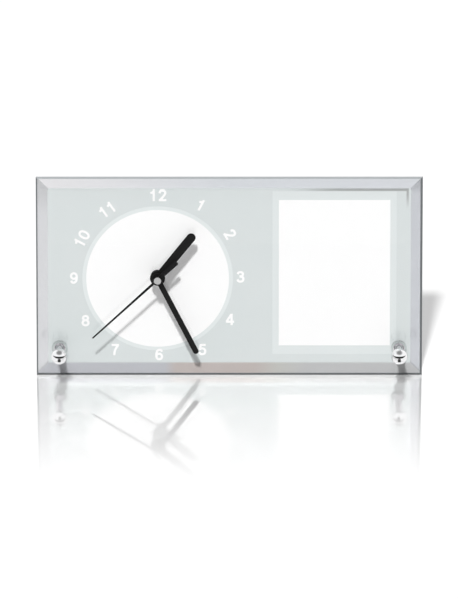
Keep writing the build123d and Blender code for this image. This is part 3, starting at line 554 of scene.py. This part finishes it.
# Clear washers
# Collared washers of clear soft PVC that keep the metal off the glass. They are water clear
# with a slight grey cast, and their moulded faces blur what is behind them a little.
soft_plastic, tree = finish("clear_pvc")
body = add(
    tree,
    "BsdfPrincipled",
    {
        "Base Color": linear("E6E8E8"),
        "Roughness": 0.08,
        "IOR": 1.53,
        "Transmission Weight": 1,
    },
)
path = add(tree, "LightPath")
unseen = add(
    tree,
    "Math",
    {0: path.outputs["Is Shadow Ray"], 1: path.outputs["Is Diffuse Ray"]},
    operation="MAXIMUM",
)
open_way = add(tree, "BsdfTransparent", {"Color": linear("E6E8E8")})
surface = add(
    tree, "MixShader", {0: unseen.outputs[0], 1: body.outputs[0], 2: open_way.outputs[0]}
)
add(tree, "OutputMaterial", {"Surface": surface.outputs[0]})
dress(
    soft_plastic, "front_washer_left", "front_washer_right", "rear_washer_left", "rear_washer_right"
)


# Feet
# Turned brass knobs and rods, polished and plated with bright chromium. The plate is a hard
# mirror with the faint haze of the polishing wheel. In the recess at the neck it is painted
# grey, painted shade for the dark that the neck mirrors.
chrome, tree = finish("bright_chromium_plate")
spot = add(tree, "TexCoord").outputs["Object"]
haze_size = 2.5
haze = add(tree, "TexNoise", {"Vector": spot, "Scale": 1 / (haze_size * mm), "Detail": 2})
rough = add(tree, "MapRange", {"Value": haze.outputs["Fac"], "To Min": 0.02, "To Max": 0.05})
flat = add(tree, "Mapping", {"Vector": spot, **to_plate})
out = add(tree, "SeparateXYZ", {0: flat.outputs[0]})
# Painted shade: the plate is greyer on the neck, up to 15 mm in front of the glass, and clears by
# 17 mm.
shade_up_to = 15 * mm
bright_from = 17 * mm
neck_shade = add(
    tree, "MapRange", {"Value": out.outputs["Z"], "From Min": bright_from, "From Max": shade_up_to}
)
on_front = add(tree, "Math", {0: out.outputs["Z"], 1: 0}, operation="GREATER_THAN")
neck_shade = add(tree, "Math", {0: neck_shade.outputs[0], 1: on_front.outputs[0]}, operation="MULTIPLY")
plate = add(
    tree,
    "Mix",
    {"Factor": neck_shade.outputs[0], 6: linear("EDEDEE"), 7: linear("D6D3D6")},
    data_type="RGBA",
)
plated = add(
    tree,
    "BsdfPrincipled",
    {"Base Color": plate.outputs[2], "Metallic": 1, "Roughness": rough.outputs[0]},
)
add(tree, "OutputMaterial", {"Surface": plated.outputs[0]})
dress(chrome, "foot_knob_left", "foot_knob_right", "rear_leg_left", "rear_leg_right")

# The studs are zinc-plated steel with a rolled M4 thread, 0.7 mm from crest to crest.
zinc, tree = finish("zinc_plated_steel")
spot = add(tree, "TexCoord").outputs["Object"]
flat = add(tree, "Mapping", {"Vector": spot, **to_plate})
thread_pitch = 0.7
turns = add(
    tree,
    "TexWave",
    {"Vector": flat.outputs[0], "Scale": math.pi / 10 / (thread_pitch * mm)},
    bands_direction="Z",
)
crests = add(tree, "Bump", {"Height": turns.outputs["Fac"], "Distance": 0.2 * mm})
plated = add(
    tree,
    "BsdfPrincipled",
    {
        "Base Color": linear("B9BCC0"),
        "Metallic": 1,
        "Roughness": 0.3,
        "Normal": crests.outputs[0],
    },
)
add(tree, "OutputMaterial", {"Surface": plated.outputs[0]})
dress(zinc, "foot_stud_left", "foot_stud_right")


# Movement case
# Injection-moulded black ABS: a front shell with the battery bay, a snap-in cover and the setting
# knob. The tool was spark eroded, which leaves an even matt grain of about 0.1 mm, drawn here at
# 0.3 mm. The drop of resin over the chip is as black and matt.
def mottled(name, size, detail, darker, lighter, look, *names):
    """A finish on these nodes that varies between two close tones, in patches of this size."""
    material, tree = finish(name)
    spot = add(tree, "TexCoord").outputs["Object"]
    patches = add(tree, "TexNoise", {"Vector": spot, "Scale": 1 / (size * mm), "Detail": detail})
    tone = add(tree, "ValToRGB", {0: patches.outputs["Fac"]})
    tone.color_ramp.elements[0].color = linear(darker)
    tone.color_ramp.elements[1].color = linear(lighter)
    skin = add(tree, "BsdfPrincipled", {"Base Color": tone.outputs[0], **look})
    add(tree, "OutputMaterial", {"Surface": skin.outputs[0]})
    dress(material, *names)
    return material, tree, patches, skin


pit_size = 0.3
moulded, tree, grain, shell = mottled(
    "spark_eroded_abs",
    pit_size,
    2,
    "161616",
    "232324",
    {"Roughness": 0.45, "IOR": 1.54},
    "movement_case",
    "movement_cover",
    "setting_knob",
    "chip_cover",
)
pits = add(tree, "Bump", {"Height": grain.outputs["Fac"], "Distance": 0.04 * mm, "Strength": 0.6})
tree.links.new(pits.outputs[0], shell.inputs["Normal"])

# Raised marks on the cover, moulded with it: an arc with two arrow heads over the setting knob, a
# plus and a minus beside the cell, and the round gate the plastic entered by. Their places are
# measured from the hands' centre, and cover_n is the cover's outer face.
centre_rise = 2.6
hub_v = dial_v + centre_rise
cover_n = -22.42
mark_height = 0.35
mark_width = 0.9
mark_sunk = 0.02
mark_n = cover_n - mark_height / 2 + mark_sunk
knob_u, knob_v = 9.45, 1.67
arc_radius = 8.6
arc = [math.radians(angle) for angle in (20, 43, 67, 90, 113, 137, 160)]
over_knob = [(knob_u + arc_radius * math.cos(a), knob_v + arc_radius * math.sin(a)) for a in arc]
arrow_marks = [over_knob]
barbs = ((1.6, 2), (-2.2, 1.2))  # from an arrow's tip, outwards and up
for tip, outwards in ((over_knob[0], 1), (over_knob[-1], -1)):
    for barb_u, barb_v in barbs:
        arrow_marks.append((tip, (tip[0] + outwards * barb_u, tip[1] + barb_v)))
cover_marks = (
    ("knob_arrows", arrow_marks),
    ("plus_mark", [((20, -7.5), (24, -7.5)), ((22, -9.5), (22, -5.5))]),
    ("minus_mark", [((-24, -7.5), (-20, -7.5))]),
)
for name, lines in cover_marks:
    mark = joined([brushed(line, 0, mark_width, mark_height) for line in lines])
    mark.name = name
    put(mark, Matrix.Translation((dial_u, hub_v, mark_n)), moulded)
    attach(mark, "base")

gate_radius = 2
gate_u, gate_v = -13, 12
ring_width, ring_rise = 0.5, 0.2
slope_width, slope_drop = 0.9, 0.15
faces_back = -0.9
bpy.ops.mesh.primitive_cylinder_add(vertices=40, radius=gate_radius, depth=mark_height)
gate = bpy.context.object
gate.name = "gate_mark"
bpy.ops.object.mode_set(mode="EDIT")
bpy.ops.mesh.select_all(action="DESELECT")
bpy.ops.object.mode_set(mode="OBJECT")
for face in gate.data.polygons:
    face.select = face.normal.z < faces_back
bpy.ops.object.mode_set(mode="EDIT")
for width, move in ((ring_width, ring_rise), (slope_width, -slope_drop)):
    bpy.ops.mesh.inset(thickness=width)
    bpy.ops.mesh.extrude_region_move(TRANSFORM_OT_translate={"value": (0, 0, move)})
bpy.ops.mesh.select_all(action="SELECT")
bpy.ops.mesh.normals_make_consistent(inside=False)
bpy.ops.object.mode_set(mode="OBJECT")
bpy.ops.object.shade_smooth_by_angle(angle=math.radians(30))
put(gate, Matrix.Translation((dial_u + gate_u, hub_v + gate_v, mark_n)), moulded)
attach(gate, "base")

# A die-cut EPDM gasket sits between the case and the glass: dull black with a fine bloom.
bloom_size = 1.6
mottled("epdm_rubber", bloom_size, 3, "1A1A1A", "2A2A2B", {"Roughness": 0.8}, "movement_gasket")

# The nut and washer on the neck are steel, turned and blackened in hot oxide.
blotch_size = 1.1
mottled(
    "black_oxide_steel",
    blotch_size,
    2,
    "1C1C1E",
    "2B2B2D",
    {"Metallic": 0.6, "Roughness": 0.4},
    "neck_nut",
    "dial_washer",
)


# Battery
# One AA cell in a printed shrink sleeve: black for most of its length, copper at the positive
# end, with a bare nickel-plated cap and base.
lowest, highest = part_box("battery")
jacket, tree = finish("printed_shrink_sleeve")
spot = add(tree, "TexCoord").outputs["Object"]
along = add(tree, "SeparateXYZ", {0: spot})
share = add(
    tree,
    "MapRange",
    {"Value": along.outputs["X"], "From Min": lowest.x, "From Max": highest.x},
)
black_from, copper_from, cap_from = 0.012, 0.72, 0.97  # shares of the cell's length
bands = add(tree, "ValToRGB", {0: share.outputs[0]})
bare = add(tree, "ValToRGB", {0: share.outputs[0]})
for ramp, ends, black, copper in (
    (bands.color_ramp, linear("B9BABC"), linear("141416"), linear("B4713F")),
    (bare.color_ramp, (1, 1, 1, 1), (0.15, 0.15, 0.15, 1), (0.7, 0.7, 0.7, 1)),
):
    ramp.interpolation = "CONSTANT"
    ramp.elements[0].color = ends
    ramp.elements[1].position = cap_from
    ramp.elements[1].color = ends
    ramp.elements.new(black_from).color = black
    ramp.elements.new(copper_from).color = copper
sleeve = add(
    tree,
    "BsdfPrincipled",
    {"Base Color": bands.outputs[0], "Metallic": bare.outputs[0], "Roughness": 0.28},
)
add(tree, "OutputMaterial", {"Surface": sleeve.outputs[0]})
dress(jacket, "battery")

# The contacts are nickel-plated spring steel, with the faint grain of the rolled strip. The
# bridge's screws and the crystal's can are plated alike.
nickel, tree = finish("nickel_plated_strip")
spot = add(tree, "TexCoord").outputs["Object"]
streak_length, streak_width = 3.5, 0.25
along_strip = (1 / (streak_length * mm), 1 / (streak_width * mm), 1 / (streak_width * mm))
stretched = add(tree, "Mapping", {"Vector": spot, "Scale": along_strip})
rolled = add(tree, "TexNoise", {"Vector": stretched.outputs[0], "Scale": 1, "Detail": 2})
rough = add(tree, "MapRange", {"Value": rolled.outputs["Fac"], "To Min": 0.2, "To Max": 0.4})
strip = add(
    tree,
    "BsdfPrincipled",
    {"Base Color": linear("C4C1BA"), "Metallic": 1, "Roughness": rough.outputs[0]},
)
add(tree, "OutputMaterial", {"Surface": strip.outputs[0]})
dress(nickel, "positive_contact", "negative_contact", "bridge_screws", "quartz_crystal")


# Wheels, bridge and bobbin
# Moulded natural acetal: ivory, slightly waxy, and light enough to glow at the thin edges. It
# fills the mould in faint swirls about 2 mm across.
flow_size = 2
mottled(
    "natural_acetal",
    flow_size,
    2,
    "E4E2D6",
    "F0EEE4",
    {"Roughness": 0.38, "IOR": 1.48},
    "hour_wheel",
    "centre_wheel",
    "motion_work_wheel",
    "third_wheel",
    "seconds_wheel",
    "step_wheel",
    "rotor",
    "train_bridge",
    "coil_bobbin",
)

# The minute pipe is turned brass. The tool's grooves, about 0.05 mm apart, are drawn at 0.2 mm.
brass, tree = finish("turned_brass")
spot = add(tree, "TexCoord").outputs["Object"]
groove_size = 0.2
grooves = add(tree, "TexNoise", {"Vector": spot, "Scale": 1 / (groove_size * mm), "Detail": 1})
rough = add(tree, "MapRange", {"Value": grooves.outputs["Fac"], "To Min": 0.2, "To Max": 0.35})
turned = add(
    tree,
    "BsdfPrincipled",
    {"Base Color": linear("D9B56A"), "Metallic": 1, "Roughness": rough.outputs[0]},
)
add(tree, "OutputMaterial", {"Surface": turned.outputs[0]})
dress(brass, "minute_pipe")


# Stepping motor and circuit
# A sintered magnet, stampings of silicon steel, a coil of enamelled copper wire and a phenolic
# board, all inside the case. The magnet's powder and the fine wire are drawn coarser than they
# are, at 0.2 and 0.1 mm.
powder_size = 0.2
mottled(
    "sintered_ferrite",
    powder_size,
    2,
    "2F2F31",
    "4A4A4D",
    {"Metallic": 0.4, "Roughness": 0.55},
    "rotor_magnet",
)
streak_size = 0.7
mottled(
    "silicon_steel",
    streak_size,
    2,
    "7E8288",
    "9BA0A6",
    {"Metallic": 1, "Roughness": 0.35},
    "stator",
    "coil_core",
)

wire, tree = finish("enamelled_copper_wire")
spot = add(tree, "TexCoord").outputs["Object"]
wire_pitch = 0.1
turns = add(
    tree,
    "TexWave",
    {"Vector": spot, "Scale": math.pi / 10 / (wire_pitch * mm)},
    bands_direction="X",
)
ridges = add(tree, "Bump", {"Height": turns.outputs["Fac"], "Distance": 0.03 * mm})
enamel = add(
    tree,
    "BsdfPrincipled",
    {
        "Base Color": linear("B5622F"),
        "Metallic": 0.8,
        "Roughness": 0.3,
        "Normal": ridges.outputs[0],
    },
)
add(tree, "OutputMaterial", {"Surface": enamel.outputs[0]})
dress(wire, "coil_winding")

fibre_size = 0.8
mottled(
    "phenolic_board", fibre_size, 4, "8A5A2A", "A8763F", {"Roughness": 0.35}, "circuit_board"
)


# Hands
# Aluminium stampings sprayed satin black, and a turned cap over the second hand's hub with a
# grey inset disc. The satin skin has a fine grain, drawn at 0.4 mm, that softens its highlights.
spray_size = 0.4
mottled(
    "satin_black_enamel",
    spray_size,
    2,
    "131313",
    "1B1B1B",
    {"Roughness": 0.45, "Specular IOR Level": 0.22},
    "hour_hand",
    "minute_hand",
    "second_hand",
)

gloss, tree = finish("gloss_black_enamel")
spot = add(tree, "TexCoord").outputs["Object"]
ripple_size = 0.4
grain = add(tree, "TexNoise", {"Vector": spot, "Scale": 1 / (ripple_size * mm), "Detail": 1})
rough = add(tree, "MapRange", {"Value": grain.outputs["Fac"], "To Min": 0.12, "To Max": 0.2})
paint = add(tree, "BsdfPrincipled", {"Base Color": linear("101010"), "Roughness": rough.outputs[0]})
add(tree, "OutputMaterial", {"Surface": paint.outputs[0]})
dress(gloss, "second_hand_cap")

speck_size = 0.7
mottled("grey_enamel", speck_size, 2, "B2B2B2", "C2C2C2", {"Roughness": 0.4}, "cap_disc")


# Table
# A sheet of polished white acrylic, wide enough to fill every view. It mirrors the clock faintly
# close in front of it, and is plain white farther out.
table_size = 60
bpy.ops.mesh.primitive_plane_add(size=table_size, location=(0, 0, 0))
table = bpy.context.object
table.name = "table"
acrylic, tree = finish("polished_white_acrylic")
spot = add(tree, "TexCoord").outputs["Object"]
aside = add(tree, "VectorMath", {0: spot}, operation="ABSOLUTE")
place = add(tree, "SeparateXYZ", {0: spot})
apart = add(tree, "SeparateXYZ", {0: aside.outputs[0]})
half_width = plate_width / 2 * mm
half_depth = 30 * mm
mirror_strength = 0.62
mirror_reach = 160 * mm
past_clock = add(
    tree, "VectorMath", {0: aside.outputs[0], 1: (half_width, half_depth, 0)}, operation="SUBTRACT"
)
outside = add(tree, "VectorMath", {0: past_clock.outputs[0]}, operation="MAXIMUM")
distance = add(tree, "VectorMath", {0: outside.outputs[0]}, operation="LENGTH")
fading = add(
    tree,
    "MapRange",
    {
        "Value": distance.outputs["Value"],
        "From Max": mirror_reach,
        "To Min": mirror_strength,
        "To Max": 0,
    },
    interpolation_type="SMOOTHSTEP",
)
# The image is weaker right under the glass, starts in front of it, ends with its sides, and is
# lost from straight above. Each row rises from its least at the first place to 1 at the second.
facing = add(tree, "LayerWeight").outputs["Facing"]
polish = fading.outputs[0]
for value, start, end, least in (
    (apart.outputs["Y"], 22 * mm, 28 * mm, 0.4),
    (place.outputs["Y"], 10 * mm, -20 * mm, 0),
    (apart.outputs["X"], 162 * mm, half_width, 0),
    (facing, 0.1, 0.35, 0),
):
    ramp = add(
        tree, "MapRange", {"Value": value, "From Min": start, "From Max": end, "To Min": least}
    )
    polish = add(tree, "Math", {0: polish, 1: ramp.outputs[0]}, operation="MULTIPLY").outputs[0]

# Two dark wedges in front of the feet are the stems in the chrome balls: only rays that metal
# has mirrored see them, not those that the glass has bent.
path = add(tree, "LightPath")
foot_inset = 18 * mm
stem_near = 60 * mm
stem_far = 450 * mm
stem_width = 9 * mm
stem_spread = 0.3
off_stem = add(
    tree, "Math", {0: apart.outputs["X"], 1: half_width - foot_inset}, operation="SUBTRACT"
)
off_stem = add(tree, "Math", {0: off_stem.outputs[0]}, operation="ABSOLUTE")
half_stem = add(
    tree,
    "MapRange",
    {
        "Value": place.outputs["Y"],
        "From Min": -stem_near,
        "From Max": -stem_far,
        "To Min": stem_width,
        "To Max": stem_width + stem_spread * (stem_far - stem_near),
    },
)
by_metal = add(
    tree,
    "Math",
    {0: path.outputs["Is Glossy Ray"], 1: path.outputs["Is Transmission Ray"]},
    operation="SUBTRACT",
)
stem = by_metal.outputs[0]
for smaller, larger in (
    (off_stem.outputs[0], half_stem.outputs[0]),
    (place.outputs["Y"], -stem_near),
    (-stem_far, place.outputs["Y"]),
):
    inside = add(tree, "Math", {0: smaller, 1: larger}, operation="LESS_THAN")
    stem = add(tree, "Math", {0: stem, 1: inside.outputs[0]}, operation="MULTIPLY").outputs[0]

# A painted contact shadow: a dark hairline on the table in front of the glass's lower edge, where
# no light gets in.
contact_shadow_near, contact_shadow_far = 20.5 * mm, 21.9 * mm
painted_contact_shadow = 0.75
for smaller, larger in (
    (-contact_shadow_far, place.outputs["Y"]),
    (place.outputs["Y"], -contact_shadow_near),
    (apart.outputs["X"], half_width),
):
    inside = add(tree, "Math", {0: smaller, 1: larger}, operation="LESS_THAN")
    painted_contact_shadow = add(tree, "Math", {0: painted_contact_shadow, 1: inside.outputs[0]}, operation="MULTIPLY").outputs[0]
shade = add(tree, "Math", {0: stem, 1: painted_contact_shadow}, operation="MAXIMUM").outputs[0]

# What looks at the table sees it glow a little, so that it is white, and mirror the clock. The
# light that it scatters back on the clock is without both.
seen = path.outputs["Is Camera Ray"]
for kind in ("Is Glossy Ray", "Is Transmission Ray"):
    seen = add(tree, "Math", {0: seen, 1: path.outputs[kind]}, operation="MAXIMUM").outputs[0]
bare = add(tree, "Math", {0: 1, 1: shade}, operation="SUBTRACT")
seen = add(tree, "Math", {0: seen, 1: bare.outputs[0]}, operation="MULTIPLY").outputs[0]
sheet = add(
    tree, "Mix", {"Factor": shade, 6: linear("CBCBCB"), 7: linear("3A3A3A")}, data_type="RGBA"
)
white = add(tree, "BsdfDiffuse", {"Color": sheet.outputs[2]})
glow_strength = 0.31
glow = add(tree, "Emission", {"Strength": glow_strength})
dark = add(tree, "Emission", {"Strength": 0})
lifted = add(tree, "MixShader", {0: seen, 1: dark.outputs[0], 2: glow.outputs[0]})
lit = add(tree, "AddShader", {0: white.outputs[0], 1: lifted.outputs[0]})
mirror = add(tree, "BsdfGlossy", {"Color": linear("FFFFFF"), "Roughness": 0.06})
polish = add(tree, "Math", {0: polish, 1: seen}, operation="MULTIPLY")
surface = add(tree, "MixShader", {0: polish.outputs[0], 1: lit.outputs[0], 2: mirror.outputs[0]})
add(tree, "OutputMaterial", {"Surface": surface.outputs[0]})
table.data.materials.append(acrylic)


# Light
# One soft lamp high in front and a little to the left, in a white tent. The chrome mirrors the
# dark gap in front, where the tent is open for the lens, and its grey roof.
bpy.ops.object.light_add(type="SUN")
lamp = bpy.context.object
lamp.name = "key_lamp"
lamp_right, lamp_up = -0.169, 1.16  # for each 1 in front of the glass
to_lamp = Vector((lamp_right, 0, 0)) + plate_up * lamp_up + plate_out
lamp.rotation_euler = to_lamp.to_track_quat("Z", "Y").to_euler()
lamp.data.energy = 2.8
lamp.data.angle = math.radians(5)
lamp.visible_glossy = False

world = bpy.data.worlds.new("white_tent")
bpy.context.scene.world = world
world.use_nodes = True
tree = world.node_tree
tree.nodes.clear()
heading = add(tree, "TexCoord").outputs["Generated"]
way = add(tree, "SeparateXYZ", {0: heading})
gap_height = 0.56
dark_band_top = add(
    tree,
    "MapRange",
    {
        "Value": way.outputs["Y"],
        "From Min": -1,
        "From Max": 0.3,
        "To Min": gap_height,
        "To Max": 0,
    },
)
over = add(tree, "Math", {0: way.outputs["Z"], 1: dark_band_top.outputs[0]}, operation="SUBTRACT")
over = add(tree, "MapRange", {"Value": over.outputs[0], "From Min": -0.04, "From Max": 0.04})
roof = add(
    tree,
    "MapRange",
    {"Value": way.outputs["Z"], "From Min": 0.7, "From Max": 0.92, "To Min": 1, "To Max": 0.25},
)
over = add(tree, "Math", {0: over.outputs[0], 1: roof.outputs[0]}, operation="MULTIPLY")
under = add(
    tree,
    "MapRange",
    {"Value": way.outputs["Z"], "From Min": 0, "From Max": 0.01, "To Min": 1, "To Max": 0},
)
whiteness = add(tree, "Math", {0: over.outputs[0], 1: under.outputs[0]}, operation="MAXIMUM")
tent = add(
    tree,
    "Mix",
    {"Factor": whiteness.outputs[0], 6: linear("303030"), 7: linear("FFFFFF")},
    data_type="RGBA",
)
mirrored = add(tree, "Background", {"Color": tent.outputs[2], "Strength": 1.1})
backdrop = add(tree, "Background", {"Color": linear("FFFFFF")})
# What the tent sheds on the clock is weak from in front and strong from behind.
behind = add(
    tree,
    "MapRange",
    {"Value": way.outputs["Y"], "From Min": 0.1, "From Max": 0.7, "To Min": 0.26, "To Max": 0.9},
)
fill = add(tree, "Background", {"Color": linear("FFFFFF"), "Strength": behind.outputs[0]})
path = add(tree, "LightPath")
is_mirrored = add(
    tree,
    "Math",
    {0: path.outputs["Is Glossy Ray"], 1: path.outputs["Is Transmission Ray"]},
    operation="MAXIMUM",
)
for_metal = add(
    tree, "MixShader", {0: is_mirrored.outputs[0], 1: fill.outputs[0], 2: mirrored.outputs[0]}
)
all_ways = add(
    tree,
    "MixShader",
    {0: path.outputs["Is Camera Ray"], 1: for_metal.outputs[0], 2: backdrop.outputs[0]},
)
add(tree, "OutputWorld", {"Surface": all_ways.outputs[0]})
bpy.context.scene.view_settings.view_transform = "Standard"


# Camera
# A long lens, 17 degrees above the glass's own normal and square to its width. It stands far
# enough off that the plate stays a true rectangle.
bpy.ops.object.camera_add()
camera = bpy.context.object
view_lift = math.radians(17)
view_distance = 8
view_height = 0.4656
aim_u, aim_v = -0.23, 61.8
aim = plate_place @ Vector((aim_u * mm, aim_v * mm, 0))
sight = plate_out * math.cos(view_lift) + plate_up * math.sin(view_lift)
camera.location = aim + sight * view_distance
camera.rotation_euler = sight.to_track_quat("Z", "Y").to_euler()
camera.data.sensor_width = 36
camera.data.lens = camera.data.sensor_width * view_distance / view_height
bpy.context.scene.camera = camera
